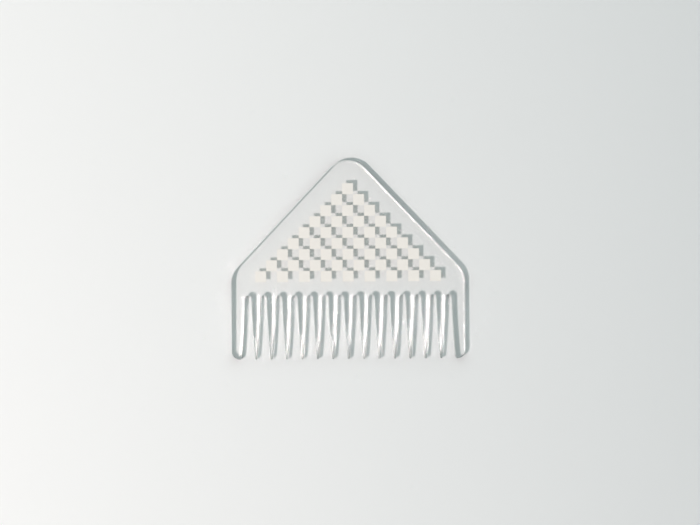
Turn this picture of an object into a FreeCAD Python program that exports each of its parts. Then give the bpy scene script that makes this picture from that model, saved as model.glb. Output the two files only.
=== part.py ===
"""Clear acrylic hair comb with a peaked back, fifteen teeth and a printed check panel.

The comb lies flat: X runs along the row of teeth, Y from the tips to the peak, and Z is the
thickness of the sheet, with its lower face at Z = 0. The origin is the centre of the outline.
All lengths are in millimetres.
"""
import FreeCAD
import Part
import math
import os

# Sheet
SHEET_THICKNESS = 4.0

# Teeth
TOOTH_COUNT = 15
TOOTH_PITCH = 5.67       # from the middle of one gap to the middle of the next
GAP_DEPTH = 23.5         # from the tips to the round top of each gap
GAP_WIDTH = 2.4          # across the round top of each gap
FLANK_RADIUS = 290.0     # of the long arc that each flank of a gap bulges in
TIP_RADIUS = 0.3         # round tip of each inner tooth
END_TOOTH_WIDTH = 4.945  # of the first and last tooth beside the round tops
END_INNER_RADIUS = 0.55  # inner corner at the tip of an end tooth
END_TIP_FLAT = 0.1       # left flat at that tip, between its inner and its outer corner

# Peaked back
SHOULDER_HEIGHT = 31.9   # from the tips to the corner where side wall and slope would meet
SLOPE_ANGLE = 46.4       # of each slope, in degrees from the row of teeth
PEAK_RADIUS = 9.0
SHOULDER_RADIUS = 9.0

# Printed check panel on the upper face
CHECK_SIZE = 4.018       # side of one square
PANEL_BASE_GAP = 4.93    # from the tops of the gaps to the lowest row of squares
PANEL_RIM = 5.0          # least clear rim between the squares and the slopes
INK_THICKNESS = 0.03
CORNER_CLEARANCE = 0.02  # between two squares that point at each other's corners

# Worked out from the sizes above
GAP_COUNT = TOOTH_COUNT - 1
GAP_RADIUS = GAP_WIDTH / 2
HALF_WIDTH = (GAP_COUNT - 1) * TOOTH_PITCH / 2 + GAP_RADIUS + END_TOOTH_WIDTH
SLOPE = math.radians(SLOPE_ANGLE)
SHARP_PEAK_HEIGHT = SHOULDER_HEIGHT + HALF_WIDTH * math.tan(SLOPE)
COMB_HEIGHT = SHARP_PEAK_HEIGHT - PEAK_RADIUS * (1 / math.cos(SLOPE) - 1)
TIPS_Y = -COMB_HEIGHT / 2
GAP_TOP_Y = TIPS_Y + GAP_DEPTH
ROOT_Y = GAP_TOP_Y - GAP_RADIUS


def point(x, y):
    """Give the point at x, y on the lower face of the sheet."""
    return FreeCAD.Vector(x, y, 0)


def raised(wire, thickness):
    """Give the solid that the face inside a flat wire makes when it is raised along Z."""
    return Part.Face(wire).extrude(FreeCAD.Vector(0, 0, thickness))


def polygon(points):
    """Give the closed wire of straight edges through a ring of points."""
    return Part.makePolygon(points + points[:1])


def rounded_corners(solid, corners):
    """Round the upright edge of a solid at each corner, given as (x, y, radius)."""
    for x, y, radius in corners:
        edges = [edge for edge in solid.Edges if stands_at(edge, x, y)]
        solid = solid.makeFillet(radius, edges)
    return solid


def stands_at(edge, x, y):
    """Tell whether an edge is the upright one over the point at x, y."""
    nearby = 1e-4
    return all(math.hypot(end.X - x, end.Y - y) < nearby for end in edge.Vertexes)


def flank_centre():
    """Give X and Y of the centre of the long arc of a right flank, for a gap at X = 0.

    The arc touches the round top of the gap from outside and the round tip of the tooth from
    inside, so its centre is FLANK_RADIUS + GAP_RADIUS from the centre of the one and
    FLANK_RADIUS - TIP_RADIUS from the centre of the other.
    """
    across_x = TOOTH_PITCH / 2
    down_y = ROOT_Y - TIPS_Y - TIP_RADIUS
    apart = math.hypot(across_x, down_y)
    from_top = FLANK_RADIUS + GAP_RADIUS
    from_tip = FLANK_RADIUS - TIP_RADIUS
    along = (apart ** 2 + from_top ** 2 - from_tip ** 2) / (2 * apart)
    beside = math.sqrt(from_top ** 2 - along ** 2)
    return ((along * across_x + beside * down_y) / apart,
            ROOT_Y + (beside * across_x - along * down_y) / apart)


def tip_arc_place(tip_radius):
    """Give where a tip arc takes over from the long arc: the angle there, and the X of its centre.

    The tip arc touches the line of the tips, and the long arc from inside.
    """
    centre_x, centre_y = flank_centre()
    reach = FLANK_RADIUS - tip_radius
    angle = math.asin((centre_y - TIPS_Y - tip_radius) / reach)
    return angle, centre_x - reach * math.cos(angle)


def blank():
    """Make the plate before its gaps are cut: a house outline with round corners."""
    shoulder_y = TIPS_Y + SHOULDER_HEIGHT
    peak_y = TIPS_Y + SHARP_PEAK_HEIGHT
    inner_corner_x = tip_arc_place(END_INNER_RADIUS)[1]
    end_outer_radius = GAP_RADIUS + END_TOOTH_WIDTH - inner_corner_x - END_TIP_FLAT
    plate = raised(polygon([
        point(-HALF_WIDTH, TIPS_Y),
        point(HALF_WIDTH, TIPS_Y),
        point(HALF_WIDTH, shoulder_y),
        point(0, peak_y),
        point(-HALF_WIDTH, shoulder_y),
    ]), SHEET_THICKNESS)
    return rounded_corners(plate, [
        (0, peak_y, PEAK_RADIUS),
        (-HALF_WIDTH, shoulder_y, SHOULDER_RADIUS),
        (HALF_WIDTH, shoulder_y, SHOULDER_RADIUS),
        (-HALF_WIDTH, TIPS_Y, end_outer_radius),
        (HALF_WIDTH, TIPS_Y, end_outer_radius),
    ])


def flank(side, tip_radius):
    """Give the edges of one flank of a gap, from its round top to the line of the tips.

    A long arc runs without a corner into an arc of tip_radius that ends on the line of the
    tips. side is -1 for the left flank of the gap and 1 for the right.
    """
    centre_x, centre_y = flank_centre()
    start = math.atan2(centre_y - ROOT_Y, centre_x)
    stop, tip_x = tip_arc_place(tip_radius)
    tip_y = TIPS_Y + tip_radius

    def on_flank(angle):
        return point(side * (centre_x - FLANK_RADIUS * math.cos(angle)),
                     centre_y - FLANK_RADIUS * math.sin(angle))

    def on_tip(angle):
        return point(side * (tip_x - tip_radius * math.cos(angle)), tip_y - tip_radius * math.sin(angle))

    long_arc = Part.Arc(on_flank(start), on_flank((start + stop) / 2), on_flank(stop))
    tip_arc = Part.Arc(on_tip(stop), on_tip((stop + math.pi / 2) / 2), on_tip(math.pi / 2))
    return [long_arc.toShape(), tip_arc.toShape()]


def gap_cutter(left, right):
    """Make the solid that cuts one gap, centred on X = 0, between two lists of flank edges."""
    below = TIPS_Y - TIP_RADIUS
    left_start = left[0].Vertexes[0].Point
    right_start = right[0].Vertexes[0].Point
    top = Part.Arc(left_start, point(0, GAP_TOP_Y), right_start).toShape()
    left_end = left[-1].Vertexes[-1].Point
    right_end = right[-1].Vertexes[-1].Point
    mouth = Part.makePolygon([left_end, point(left_end.x, below), point(right_end.x, below), right_end])
    ring = [top] + left + right + mouth.Edges
    wire = Part.Wire(Part.__sortEdges__(ring))
    return raised(wire, SHEET_THICKNESS)


def comb_body():
    """Make the comb itself: the blank with every gap cut out of it."""
    cutters = []
    for index in range(GAP_COUNT):
        left = flank(-1, END_INNER_RADIUS if index == 0 else TIP_RADIUS)
        right = flank(1, END_INNER_RADIUS if index == GAP_COUNT - 1 else TIP_RADIUS)
        cutter = gap_cutter(left, right)
        cutter.translate(point((index - (GAP_COUNT - 1) / 2) * TOOTH_PITCH, 0))
        cutters.append(cutter)
    return blank().cut(cutters)


def squares_that_fit(wanted, upper_edge_y):
    """Give how many squares of a centred row clear the rim below the slopes.

    A row keeps its place in the chequer, so it loses its two outer squares at a time.
    """
    rim_across = PANEL_RIM / math.sin(SLOPE)
    room = (TIPS_Y + SHARP_PEAK_HEIGHT - upper_edge_y) / math.tan(SLOPE) - rim_across
    room = min(room, HALF_WIDTH - PANEL_RIM)
    while wanted > 0 and (wanted - 0.5) * CHECK_SIZE > room:
        wanted -= 2
    return max(wanted, 0)


def printed_checks():
    """Make the panel of ink squares: rows that lose a square each, corner to corner."""
    side = CHECK_SIZE - CORNER_CLEARANCE
    base_y = GAP_TOP_Y + PANEL_BASE_GAP
    in_row = squares_that_fit(2 * TOOTH_COUNT, base_y + CHECK_SIZE)
    in_row = max(in_row, squares_that_fit(2 * TOOTH_COUNT - 1, base_y + CHECK_SIZE))
    squares = []
    row = 0
    while in_row > 0:
        row_y = base_y + row * CHECK_SIZE
        count = squares_that_fit(in_row, row_y + CHECK_SIZE)
        for index in range(count):
            centre_x = (2 * index - count + 1) * CHECK_SIZE
            square = Part.makeBox(side, side, INK_THICKNESS)
            square.translate(FreeCAD.Vector(centre_x - side / 2, row_y + CORNER_CLEARANCE / 2,
                                            SHEET_THICKNESS))
            squares.append(square)
        in_row -= 1
        row += 1
    return Part.makeCompound(squares)


def main():
    """Write each sub-part to its own STEP file."""
    os.makedirs("parts", exist_ok=True)
    for name, shape in {"comb_body": comb_body(), "printed_checks": printed_checks()}.items():
        shape.exportStep(os.path.join("parts", name + ".step"))
        box = shape.BoundBox
        print(name, len(shape.Solids), "solid(s)", round(shape.Volume, 2), "mm3", box)


main()
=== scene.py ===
"""Clear acrylic hair comb with a printed check panel, lying on a pale table under studio light.

The comb is a sheet of acrylic with polished faces and buffed cut edges. Its outline is worked
out from the comb's own sizes and a rim profile is carried along it. The printed squares are
the CAD node itself, dressed as white screen ink.

The lamps shine straight through the polished faces and a little through the ink, and the cut
edges stop and mirror them. That is what draws the dark and bright lines along the outline.
"""

import logging
import math
from dataclasses import dataclass, field
from typing import Any

import bpy
import numpy as np
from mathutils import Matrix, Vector


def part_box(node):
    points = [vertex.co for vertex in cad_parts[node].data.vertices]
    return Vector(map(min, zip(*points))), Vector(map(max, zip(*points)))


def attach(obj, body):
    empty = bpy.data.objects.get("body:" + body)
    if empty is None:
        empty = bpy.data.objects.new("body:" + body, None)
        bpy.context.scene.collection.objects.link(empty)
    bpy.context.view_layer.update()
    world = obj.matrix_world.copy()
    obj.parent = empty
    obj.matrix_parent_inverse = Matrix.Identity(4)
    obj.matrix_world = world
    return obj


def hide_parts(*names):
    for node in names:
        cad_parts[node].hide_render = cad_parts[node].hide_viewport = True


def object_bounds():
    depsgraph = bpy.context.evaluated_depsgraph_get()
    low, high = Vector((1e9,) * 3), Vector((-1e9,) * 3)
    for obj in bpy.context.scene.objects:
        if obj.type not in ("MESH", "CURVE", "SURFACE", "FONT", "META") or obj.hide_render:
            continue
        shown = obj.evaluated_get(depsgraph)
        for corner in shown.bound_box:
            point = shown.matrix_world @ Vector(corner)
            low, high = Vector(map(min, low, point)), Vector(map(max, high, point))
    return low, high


LOG = logging.getLogger("hair_comb")
MM = 0.001
NEARBY = 0.001 * MM
BODY = "root"

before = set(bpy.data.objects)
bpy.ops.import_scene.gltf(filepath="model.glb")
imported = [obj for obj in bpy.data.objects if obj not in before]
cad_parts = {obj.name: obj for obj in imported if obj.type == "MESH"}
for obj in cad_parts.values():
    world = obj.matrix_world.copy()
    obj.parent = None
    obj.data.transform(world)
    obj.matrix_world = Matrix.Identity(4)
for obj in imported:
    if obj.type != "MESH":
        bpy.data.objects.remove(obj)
CAD_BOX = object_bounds()


# Shader maths


class Value:
    """A number in a material: a node's output socket that takes part in sums."""

    def __init__(self, graph: "Graph", socket: Any) -> None:
        """Keep the graph that the socket belongs to, and the socket."""
        self.graph = graph
        self.socket = socket

    def _sum(self, operation: str, *terms: Any) -> "Value":
        """Add a Math node.

        Args:
            operation: the Math node's operation.
            terms: its values, as numbers or as other values.

        Returns:
            The node's result.
        """
        return self.graph.node("ShaderNodeMath", {"operation": operation}, dict(enumerate(terms)))

    def __add__(self, other: Any) -> "Value":
        """Give self + other."""
        return self._sum("ADD", self, other)

    __radd__ = __add__

    def __sub__(self, other: Any) -> "Value":
        """Give self - other."""
        return self._sum("SUBTRACT", self, other)

    def __rsub__(self, other: Any) -> "Value":
        """Give other - self."""
        return self._sum("SUBTRACT", other, self)

    def __mul__(self, other: Any) -> "Value":
        """Give self * other."""
        return self._sum("MULTIPLY", self, other)

    __rmul__ = __mul__

    def over(self, low: float, high: float) -> "Value":
        """Give 0 below low, 1 above high, and a straight ramp between them."""
        settings = {"clamp": True}
        return self.graph.node("ShaderNodeMapRange", settings,
                               {"Value": self, "From Min": low, "From Max": high})


class Graph:
    """The node tree of one material, built up one node at a time."""

    def __init__(self, name: str) -> None:
        """Make an empty material of this name."""
        self.material = bpy.data.materials.new(name)
        self.material.use_nodes = True
        self.tree = self.material.node_tree
        self.tree.nodes.clear()

    def node(self, kind: str, settings: dict[str, Any] | None = None,
             inputs: dict[Any, Any] | None = None, output: Any = 0) -> Value:
        """Add a node of any kind.

        Args:
            kind: the node's type.
            settings: its properties, which are set first.
            inputs: values or links for its sockets, by name or by number.
            output: which of its outputs to give, by name or by number.

        Returns:
            The output that was asked for.
        """
        made = self.tree.nodes.new(kind)
        for key, setting in (settings or {}).items():
            setattr(made, key, setting)
        for key, given in (inputs or {}).items():
            if isinstance(given, Value):
                self.tree.links.new(given.socket, made.inputs[key])
            else:
                made.inputs[key].default_value = given
        return Value(self, made.outputs[output])

    def place(self, stretch: tuple[float, float, float] = (1.0, 1.0, 1.0)) -> Value:
        """Give the point on the piece in its own coordinates, each axis scaled by stretch."""
        point = self.node("ShaderNodeTexCoord", output="Object")
        return self.node("ShaderNodeMapping", inputs={"Vector": point, "Scale": stretch})

    def noise(self, scale: float, detail: float,
              stretch: tuple[float, float, float] = (1.0, 1.0, 1.0)) -> Value:
        """Give noise from 0 to 1 over the piece.

        Args:
            scale: waves per metre.
            detail: how many finer layers are added.
            stretch: scale of each axis before the noise is read.

        Returns:
            The noise.
        """
        return self.node("ShaderNodeTexNoise", inputs={
            "Vector": self.place(stretch), "Scale": scale, "Detail": detail})

    def blend(self, amount: Value, low: tuple[float, ...], high: tuple[float, ...]) -> Value:
        """Give the colour between low and high at amount, from 0 to 1."""
        return self.node("ShaderNodeMix", {"data_type": "RGBA"},
                         {"Factor": amount, 6: low, 7: high}, output=2)

    def bump(self, height: Value, depth: float) -> Value:
        """Give the normal of a surface raised by height times depth, in metres."""
        return self.node("ShaderNodeBump", inputs={
            "Height": height, "Distance": depth, "Strength": 1.0}, output="Normal")

    def split(self, point: Value) -> tuple[Value, Value, Value]:
        """Give the X, Y and Z of a point."""
        node = self.node("ShaderNodeSeparateXYZ", inputs={"Vector": point}).socket.node
        return tuple(Value(self, output) for output in node.outputs)

    def finish(self, sockets: dict[str, Any], passed: float = 0.0) -> Any:
        """Close the material with a Principled shader.

        Args:
            sockets: the shader's values and links, by socket name.
            passed: the share of a lamp's light that goes straight through the surface.

        Returns:
            The material.
        """
        shader = self.node("ShaderNodeBsdfPrincipled", inputs=sockets, output="BSDF")
        if passed > 0.0:
            through = self.node("ShaderNodeBsdfTransparent",
                                inputs={"Color": (passed, passed, passed, 1.0)}, output="BSDF")
            towards_lamp = self.node("ShaderNodeLightPath", output="Is Shadow Ray")
            shader = self.node("ShaderNodeMixShader",
                               inputs={0: towards_lamp, 1: shader, 2: through})
        end = self.tree.nodes.new("ShaderNodeOutputMaterial")
        self.tree.links.new(shader.socket, end.inputs["Surface"])
        return self.material


# Finishes


@dataclass(frozen=True)
class PolishedAcrylic:
    """The clear upper and lower face of the sheet, with the faintest wipe marks.

    The marks are long streaks where the noise rises from faintest_mark to deepest_mark.
    """

    tint: tuple[float, float, float, float] = (0.995, 1.0, 0.997, 1.0)
    index: float = 1.49
    passed: float = 0.99
    marks_per_metre: float = 900.0
    mark_detail: float = 3.0
    mark_stretch: tuple[float, float, float] = (1.0, 0.04, 1.0)
    faintest_mark: float = 0.68
    deepest_mark: float = 0.9
    mark_roughness: float = 0.03

    def material(self) -> Any:
        """Make the material: smooth clear glass whose roughness lifts a little in the marks."""
        graph = Graph("polished_acrylic")
        streaks = graph.noise(self.marks_per_metre, self.mark_detail, self.mark_stretch)
        marks = streaks.over(self.faintest_mark, self.deepest_mark)
        return graph.finish({
            "Base Color": self.tint,
            "Roughness": marks * self.mark_roughness,
            "IOR": self.index,
            "Transmission Weight": 1.0,
        }, self.passed)


@dataclass(frozen=True)
class BuffedCutEdge:
    """The cut edge of the sheet: buffed, with fine upright marks of the cutter.

    Between the teeth the whole edge mirrors a lamp softly. Along the outer rim only the part
    below soft_height does, and the rest is smooth. The outer rim is what lies further up the
    comb than back_starts or further out from its middle than walls_start, and each border is
    a ramp that reaches blur to both sides.
    """

    tint: tuple[float, float, float, float] = (0.97, 0.985, 0.98, 1.0)
    index: float = 1.49
    roughness: float = 0.16
    marks_per_metre: float = 2600.0
    mark_detail: float = 2.0
    mark_stretch: tuple[float, float, float] = (1.0, 1.0, 0.06)
    mark_depth: float = 0.002 * MM
    mark_roughness: float = 0.04
    soft_height: float = 1.1 * MM
    back_starts: float = -13.75 * MM
    walls_start: float = 40.0 * MM
    blur: float = 0.25 * MM

    def past(self, place: Value, border: float) -> Value:
        """Give 0 short of a border and 1 past it, with a ramp of the blur on each side."""
        return place.over(border - self.blur, border + self.blur)

    def material(self) -> Any:
        """Make the material: clear glass whose roughness goes with the place on the outline."""
        graph = Graph("buffed_cut_edge")
        streaks = graph.noise(self.marks_per_metre, self.mark_detail, self.mark_stretch)
        across, along, height = graph.split(graph.place())
        sideways = graph.node("ShaderNodeMath", {"operation": "ABSOLUTE"}, {0: across})
        back = self.past(along, self.back_starts)
        walls = self.past(sideways, self.walls_start)
        outer = 1.0 - (1.0 - back) * (1.0 - walls)
        smooth = self.past(height, self.soft_height) * outer
        least = self.roughness - self.mark_roughness / 2
        return graph.finish({
            "Base Color": self.tint,
            "Roughness": (1.0 - smooth) * (streaks * self.mark_roughness + least),
            "IOR": self.index,
            "Transmission Weight": 1.0,
            "Normal": graph.bump(streaks, self.mark_depth),
        })


@dataclass(frozen=True)
class WhiteInk:
    """Thin warm white screen ink with a slightly uneven coat."""

    thin: tuple[float, float, float, float] = (0.82, 0.788, 0.738, 1.0)
    full: tuple[float, float, float, float] = (0.86, 0.827, 0.78, 1.0)
    roughness: float = 0.62
    specular: float = 0.4
    passed: float = 0.25
    mottles_per_metre: float = 420.0
    mottle_detail: float = 3.0
    weaves_per_metre: float = 5200.0
    weave_detail: float = 1.0
    weave_depth: float = 0.004 * MM
    weave_roughness: float = 0.2

    def material(self) -> Any:
        """Make the material: mottled colour, and the fine weave of the screen in the surface."""
        graph = Graph("white_ink")
        mottle = graph.noise(self.mottles_per_metre, self.mottle_detail)
        weave = graph.noise(self.weaves_per_metre, self.weave_detail)
        least = self.roughness - self.weave_roughness / 2
        return graph.finish({
            "Base Color": graph.blend(mottle, self.thin, self.full),
            "Roughness": weave * self.weave_roughness + least,
            "Specular IOR Level": self.specular,
            "Normal": graph.bump(weave, self.weave_depth),
        }, self.passed)


@dataclass(frozen=True)
class PaleTable:
    """A plain pale table top with painted light falloff, lighter on the left and shaded on the
    right.

    The painted falloff stands in for the room's light growing weaker from left to right. It runs
    from light to shaded over a set distance on each side of the middle.
    """

    # painted light falloff: the lit colour on the left side and the shaded colour on the right
    light: tuple[float, float, float, float] = (0.905, 0.905, 0.90, 1.0)
    shaded: tuple[float, float, float, float] = (0.71, 0.725, 0.73, 1.0)
    painted_falloff_span: float = 0.15
    clouds_per_metre: float = 9.0
    cloud_detail: float = 4.0
    cloud_tone: float = 0.06
    cloud_roughness: float = 0.1
    least_roughness: float = 0.82
    specular: float = 0.2

    def material(self) -> Any:
        """Make the material: matt, with the painted light falloff and a very slight random
        unevenness of tone on top.
        """
        graph = Graph("pale_table")
        cloud = graph.noise(self.clouds_per_metre, self.cloud_detail)
        # painted light falloff: 0 on the lit left, 1 on the shaded right, plus random cloud tone
        across = graph.split(graph.place())[0].over(-self.painted_falloff_span, self.painted_falloff_span)
        tone = across + (cloud - 0.5) * self.cloud_tone
        return graph.finish({
            "Base Color": graph.blend(tone, self.light, self.shaded),
            "Roughness": cloud * self.cloud_roughness + self.least_roughness,
            "Specular IOR Level": self.specular,
        })


# The comb


def arc(centre: tuple[float, float], radius: float, start: float, stop: float,
        step: float = math.radians(5.0)) -> np.ndarray:
    """Give points along an arc: centre plus radius times the cosine and sine of the angle.

    Args:
        centre: X and Y of the arc's centre.
        radius: its radius.
        start: the angle of its first point.
        stop: the angle of its last point.
        step: the largest turn between two points.

    Returns:
        The points, one row each.
    """
    count = max(2, int(math.ceil(abs(stop - start) / step)) + 1)
    angle = np.linspace(start, stop, count)
    return np.stack([centre[0] + radius * np.cos(angle), centre[1] + radius * np.sin(angle)], 1)


def meeting(first: tuple[float, float], reach: float, second: tuple[float, float],
            other_reach: float) -> tuple[float, float]:
    """Give the point that lies at one reach from first and at the other reach from second.

    Of the two such points it is the one to the right of the way from first to second.

    Args:
        first: X and Y of the first point.
        reach: how far the answer is from it.
        second: X and Y of the second point.
        other_reach: how far the answer is from that one.

    Returns:
        X and Y of the answer.
    """
    way = np.subtract(second, first)
    gap = float(np.hypot(*way))
    along = (gap ** 2 + reach ** 2 - other_reach ** 2) / (2.0 * gap)
    across = math.sqrt(reach ** 2 - along ** 2)
    unit = way / gap
    return (first[0] + along * unit[0] + across * unit[1],
            first[1] + along * unit[1] - across * unit[0])


@dataclass
class CombSheet:
    """The comb itself: a peaked sheet with a row of teeth cut into its long side.

    It is a hair thinner than the CAD body, which leaves the ink's underside free. Its edge is
    rounded over a height of rim_round. The rounding reaches in by tip_round at the tips and by
    round_growth more for each unit above them, up to rim_round. flank_turn and back_turn are
    the largest turns between two points of the outline, along the flanks of the gaps and round
    the shoulders and the peak.
    """

    thickness: float = 3.99 * MM
    teeth: int = 15
    pitch: float = 5.67 * MM
    gap_depth: float = 23.5 * MM
    gap_width: float = 2.4 * MM
    flank_radius: float = 290.0 * MM
    tip_radius: float = 0.3 * MM
    end_tooth_width: float = 4.945 * MM
    end_inner_radius: float = 0.55 * MM
    end_tip_flat: float = 0.1 * MM
    shoulder_height: float = 31.9 * MM
    slope: float = math.radians(46.4)
    peak_radius: float = 9.0 * MM
    shoulder_radius: float = 9.0 * MM
    rim_round: float = 0.38 * MM
    tip_round: float = 0.1 * MM
    round_growth: float = 0.008
    round_steps: int = 4
    wall_steps: int = 4
    flank_turn: float = math.radians(0.4)
    back_turn: float = math.radians(2.0)
    faces: PolishedAcrylic = field(default_factory=PolishedAcrylic)
    edges: BuffedCutEdge = field(default_factory=BuffedCutEdge)

    @property
    def half_width(self) -> float:
        """Half of the comb's width."""
        return (self.teeth - 2) * self.pitch / 2 + self.gap_width / 2 + self.end_tooth_width

    @property
    def height(self) -> float:
        """From the tips to the top of the round peak."""
        sharp = self.shoulder_height + self.half_width * math.tan(self.slope)
        return sharp - self.peak_radius * (1 / math.cos(self.slope) - 1)

    def gap(self, left: np.ndarray, right: np.ndarray, middle: float) -> np.ndarray:
        """Give the outline of one gap, up its left flank, round its top and down the right.

        Args:
            left: the left flank from the tips up, for a gap in the middle.
            right: the right flank from the top down, for a gap in the middle.
            middle: X of this gap's middle.

        Returns:
            The points in order.
        """
        radius = self.gap_width / 2
        lean_left = math.atan2(*(left[-1] - self.gap_centre)[::-1])
        lean_right = math.atan2(*(right[0] - self.gap_centre)[::-1])
        top = arc(tuple(self.gap_centre), radius, lean_left % (2 * math.pi), lean_right)
        return np.concatenate([left[:-1], top, right[1:]]) + (middle, 0.0)

    @property
    def gap_centre(self) -> np.ndarray:
        """The centre of a gap's round top, for a gap in the middle."""
        return np.array([0.0, self.gap_depth - self.gap_width / 2])

    @property
    def flank_centre(self) -> tuple[float, float]:
        """The centre of the long arc of a right flank, for a gap in the middle.

        The arc touches the round top of the gap from outside and the round tip of the tooth
        from inside, so it lies at its radius plus the top's from the one centre, and at its
        radius less the tip's from the other.
        """
        tip = (self.pitch / 2, self.tip_radius)
        return meeting(tip, self.flank_radius - self.tip_radius,
                       tuple(self.gap_centre), self.flank_radius + self.gap_width / 2)

    def tip_centre(self, radius: float) -> tuple[float, float]:
        """Give the centre of the arc that ends a right flank, for a gap in the middle.

        It touches the line of the tips, and the long arc from inside.

        Args:
            radius: the radius of the arc.

        Returns:
            X and Y of the centre.
        """
        centre = self.flank_centre
        reach = self.flank_radius - radius
        return centre[0] - math.sqrt(reach ** 2 - (centre[1] - radius) ** 2), radius

    def flank(self, radius: float) -> np.ndarray:
        """Give the right flank of a gap, from its top down the long arc to the line of the tips.

        Args:
            radius: of the arc that ends it.

        Returns:
            The points in order, for a gap in the middle.
        """
        centre, tip, top = self.flank_centre, self.tip_centre(radius), self.gap_centre
        start = math.atan2(top[1] - centre[1], top[0] - centre[0]) % (2 * math.pi)
        stop = math.atan2(tip[1] - centre[1], tip[0] - centre[0]) % (2 * math.pi)
        long_arc = arc(centre, self.flank_radius, start, stop, self.flank_turn)
        return np.concatenate([long_arc, arc(tip, radius, stop, 1.5 * math.pi)[1:]])

    def outline(self) -> np.ndarray:
        """Give the closed outline of the comb, anticlockwise, from the tips up.

        Returns:
            The points, evenly enough spaced to look smooth, without the first one again.
        """
        half = self.half_width
        wide = (self.gap_width / 2 + self.end_tooth_width
                - self.tip_centre(self.end_inner_radius)[0] - self.end_tip_flat)
        mirror = np.array([-1.0, 1.0])
        inner, end = self.flank(self.tip_radius), self.flank(self.end_inner_radius)
        runs = [arc((-half + wide, wide), wide, math.pi, 1.5 * math.pi)]
        last = self.teeth - 2
        for index in range(self.teeth - 1):
            left = (end if index == 0 else inner)[::-1] * mirror
            right = end if index == last else inner
            runs.append(self.gap(left, right, (index - last / 2) * self.pitch))
        runs.append(arc((half - wide, wide), wide, -math.pi / 2, 0.0))
        bend = math.pi / 2 - self.slope
        drop = self.shoulder_radius * math.tan(self.slope / 2)
        shoulder = (half - self.shoulder_radius, self.shoulder_height - drop)
        peak = (0.0, self.height - self.peak_radius)
        runs.append(arc(shoulder, self.shoulder_radius, 0.0, bend, self.back_turn))
        runs.append(arc(peak, self.peak_radius, bend, math.pi - bend, self.back_turn))
        runs.append(arc((-shoulder[0], shoulder[1]), self.shoulder_radius, math.pi - bend,
                        math.pi, self.back_turn))
        ring = np.concatenate(runs)
        step = np.hypot(*(ring - np.roll(ring, 1, 0)).T)
        return ring[step > NEARBY]

    def rim(self) -> np.ndarray:
        """Give the profile of the edge as inset and height, from the lower face to the upper.

        Each end is a quarter circle whose inset is the radius times one less the sine of the
        angle and whose height is the radius times one less its cosine. The inset is given as a
        share of the radius, because the edge is less round towards the tips.

        Returns:
            The points in order.
        """
        turn = np.linspace(0.0, math.pi / 2, self.round_steps + 1)
        quarter = np.stack([1 - np.sin(turn), self.rim_round * (1 - np.cos(turn))], 1)
        levels = np.linspace(self.rim_round, self.thickness - self.rim_round,
                             self.wall_steps + 1)[1:-1]
        wall = np.stack([np.zeros_like(levels), levels], 1)
        upper = quarter[::-1] * (1, -1) + (0, self.thickness)
        return np.concatenate([quarter, wall, upper])

    def surface(self, low: np.ndarray, high: np.ndarray) -> tuple[np.ndarray, np.ndarray]:
        """Carry the rim profile along the outline.

        The outline is fitted to a box first: each ring coordinate is the box's low corner plus
        the box's size times the share of the way across the ring's own box. A point is the
        outline's point, less its inset times the outward normal, at its height. The inset grows
        with the height above the tips until it is the rim's full radius.

        Args:
            low: the low corner of the box that the comb fills.
            high: its high corner.

        Returns:
            The points, one ring after another from the lower face up, and the quads between
            the rings.
        """
        ring, rim = self.outline(), self.rim()
        share = (ring - ring.min(0)) / (ring.max(0) - ring.min(0))
        ring = low[:2] + share * (high - low)[:2]
        ahead = np.roll(ring, -1, 0) - ring
        ahead /= np.hypot(*ahead.T)[:, None]
        way = ahead + np.roll(ahead, 1, 0)
        way /= np.hypot(*way.T)[:, None]
        outward = np.stack([way[:, 1], -way[:, 0]], 1)
        above_tips = ring[:, 1] - low[1]
        inset = np.minimum(self.rim_round, self.tip_round + self.round_growth * above_tips)
        flat = ring[None] - rim[:, None, :1] * (outward * inset[:, None])[None]
        level = np.broadcast_to(rim[:, None, 1:], flat.shape[:2] + (1,))
        points = np.concatenate([flat, level + low[2]], 2).reshape(-1, 3)
        count = len(ring)
        index = np.arange(len(rim) * count).reshape(len(rim), count)
        across = np.roll(index, -1, 1)
        quads = np.stack([index[:-1], across[:-1], across[1:], index[1:]], 2).reshape(-1, 4)
        return points, quads

    def mesh(self) -> Any:
        """Make the comb's mesh and dress it.

        The quads between the rings are the cut edge, shaded smooth. The first and the last
        ring are filled with a flat polished face each, and their own edges are marked sharp.

        Returns:
            The mesh.
        """
        low, high = (np.array(corner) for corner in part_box("comb_body"))
        points, quads = self.surface(low, high)
        rings = len(self.rim())
        count = len(points) // rings
        lower = np.arange(count)[::-1].tolist()
        upper = np.arange(len(points) - count, len(points)).tolist()
        mesh = bpy.data.meshes.new("comb_sheet")
        mesh.from_pydata(points, [], quads.tolist() + [lower, upper])
        wall = np.arange(len(mesh.polygons)) < len(quads)
        mesh.materials.append(self.faces.material())
        mesh.materials.append(self.edges.material())
        mesh.polygons.foreach_set("material_index", wall.astype(np.int32))
        mesh.polygons.foreach_set("use_smooth", wall)
        ends = np.empty(len(mesh.edges) * 2, np.int32)
        mesh.edges.foreach_get("vertices", ends)
        start, stop = (ends.reshape(-1, 2) // count).T
        border = (start == stop) & ((start == 0) | (start == rings - 1))
        mesh.edges.foreach_set("use_edge_sharp", border)
        mesh.update()
        return mesh

    def build(self) -> Any:
        """Make the comb's object, in place of the CAD node.

        Returns:
            The object.
        """
        mesh = self.mesh()
        piece = bpy.data.objects.new("comb_sheet", mesh)
        bpy.context.scene.collection.objects.link(piece)
        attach(piece, BODY)
        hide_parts("comb_body")
        LOG.info("comb_sheet: %d points, %d faces", len(mesh.vertices), len(mesh.polygons))
        return piece


@dataclass
class CheckPanel:
    """The printed squares, which are the CAD node in white ink."""

    node: str = "printed_checks"
    ink: WhiteInk = field(default_factory=WhiteInk)

    def dress(self) -> None:
        """Give the CAD node its ink."""
        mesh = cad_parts[self.node].data
        mesh.materials.clear()
        mesh.materials.append(self.ink.material())
        LOG.info("%s: %d faces", self.node, len(mesh.polygons))


# The studio


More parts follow.
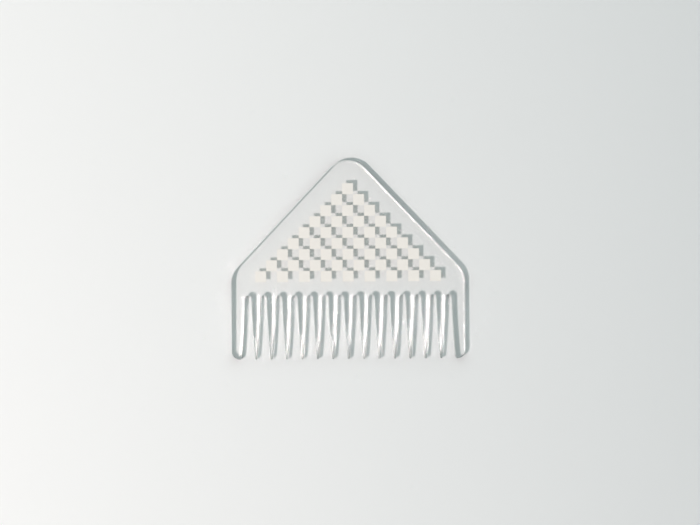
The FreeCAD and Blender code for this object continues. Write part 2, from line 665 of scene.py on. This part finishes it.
@dataclass
class Table:
    """The table that the comb lies on."""

    side: float = 6.0
    clearance: float = 0.02 * MM
    top: PaleTable = field(default_factory=PaleTable)

    def build(self) -> Any:
        """Make the table top as a level square just under the comb.

        Returns:
            The object.
        """
        half = self.side / 2
        corner = np.array([(-1, -1), (1, -1), (1, 1), (-1, 1)], float) * half
        level = CAD_BOX[0][2] - self.clearance
        points = np.column_stack([corner, np.full(4, level)])
        mesh = bpy.data.meshes.new("table_top")
        mesh.from_pydata(points, [], [(0, 1, 2, 3)])
        mesh.materials.append(self.top.material())
        table = bpy.data.objects.new("table_top", mesh)
        bpy.context.scene.collection.objects.link(table)
        LOG.info("table_top: %.1f m square", self.side)
        return table


@dataclass
class Lamp:
    """A round lamp that stands off in one direction and shines on the comb."""

    name: str
    lean: tuple[float, float]
    distance: float
    spread: float
    power: float
    colour: tuple[float, float, float]
    mirrored: bool

    def build(self) -> Any:
        """Make the lamp.

        Its light travels by lean across for each unit down, and spread is the angle that the
        lamp fills as the comb sees it. The light goes straight through the acrylic, so rays
        that bend in the acrylic don't meet the lamp again. Edges show it only if mirrored.

        Returns:
            The object.
        """
        way = Vector((self.lean[0], self.lean[1], -1.0)).normalized()
        light = bpy.data.lights.new(self.name, "AREA")
        light.shape = "DISK"
        light.size = 2.0 * self.distance * math.tan(self.spread / 2)
        light.energy = self.power
        light.color = self.colour
        lamp = bpy.data.objects.new(self.name, light)
        lamp.location = -way * self.distance
        lamp.rotation_euler = (-way).to_track_quat("Z", "Y").to_euler()
        lamp.visible_transmission = False
        lamp.visible_glossy = self.mirrored
        bpy.context.scene.collection.objects.link(lamp)
        LOG.info("%s: %.2f m across, %.1f W", self.name, light.size, self.power)
        return lamp


@dataclass
class Studio:
    """The light of the room: one small key lamp, a broad soft one, and an even glow."""

    glow: float = 0.45
    glow_colour: tuple[float, float, float, float] = (0.88, 1.0, 0.99, 1.0)
    lamps: tuple[Lamp, ...] = (
        Lamp(name="key_lamp", lean=(0.40, 0.28), distance=1.1, spread=math.radians(5.0),
             power=5.8, colour=(1.13, 1.0, 0.985), mirrored=True),
        Lamp(name="soft_lamp", lean=(-0.1, -0.8), distance=1.2, spread=math.radians(60.0),
             power=2.5, colour=(0.9, 1.0, 1.0), mirrored=False),
    )
    bounces: int = 16
    mirror_bounces: int = 8
    matt_bounces: int = 6
    guided_share: float = 0.8

    def build(self) -> None:
        """Make the lamps and the glow, and set how far light is followed."""
        for lamp in self.lamps:
            lamp.build()
        world = bpy.data.worlds.new("room_glow")
        world.use_nodes = True
        background = world.node_tree.nodes["Background"]
        background.inputs["Color"].default_value = self.glow_colour
        background.inputs["Strength"].default_value = self.glow
        scene = bpy.context.scene
        scene.world = world
        scene.view_settings.view_transform = "Standard"
        self.follow_light(scene.cycles)
        LOG.info("studio: %d lamps, glow %.2f", len(self.lamps), self.glow)

    def follow_light(self, cycles: Any) -> None:
        """Let light bend and bounce on through the acrylic without blur or clamping.

        Args:
            cycles: the scene's own settings for light paths.
        """
        cycles.caustics_reflective = True
        cycles.caustics_refractive = True
        cycles.blur_glossy = 0.0
        cycles.sample_clamp_indirect = 0.0
        cycles.max_bounces = self.bounces
        cycles.transmission_bounces = self.bounces
        cycles.glossy_bounces = self.mirror_bounces
        cycles.diffuse_bounces = self.matt_bounces
        cycles.use_guiding = True
        cycles.use_surface_guiding = True
        cycles.surface_guiding_probability = self.guided_share


@dataclass
class OverheadCamera:
    """A camera that looks straight down on the comb."""

    height: float = 0.8125
    lens: float = 113.14
    sensor: float = 36.0
    aim: tuple[float, float] = (0.72 * MM, -1.07 * MM)
    turn: float = math.radians(-0.43)

    def build(self) -> Any:
        """Make the camera and give it to the scene.

        Returns:
            The object.
        """
        data = bpy.data.cameras.new("overhead_camera")
        data.lens = self.lens
        data.sensor_width = self.sensor
        camera = bpy.data.objects.new("overhead_camera", data)
        camera.location = (self.aim[0], self.aim[1], self.height)
        camera.rotation_euler = (0.0, 0.0, self.turn)
        bpy.context.scene.collection.objects.link(camera)
        bpy.context.scene.camera = camera
        LOG.info("overhead_camera: %.2f m up", self.height)
        return camera


def main() -> None:
    """Build the scene piece by piece."""
    logging.basicConfig(level=logging.INFO, format="%(name)s %(message)s")
    OverheadCamera().build()
    CombSheet().build()
    CheckPanel().dress()
    Table().build()
    Studio().build()
    bpy.context.view_layer.update()


if __name__ == "__main__":
    main()
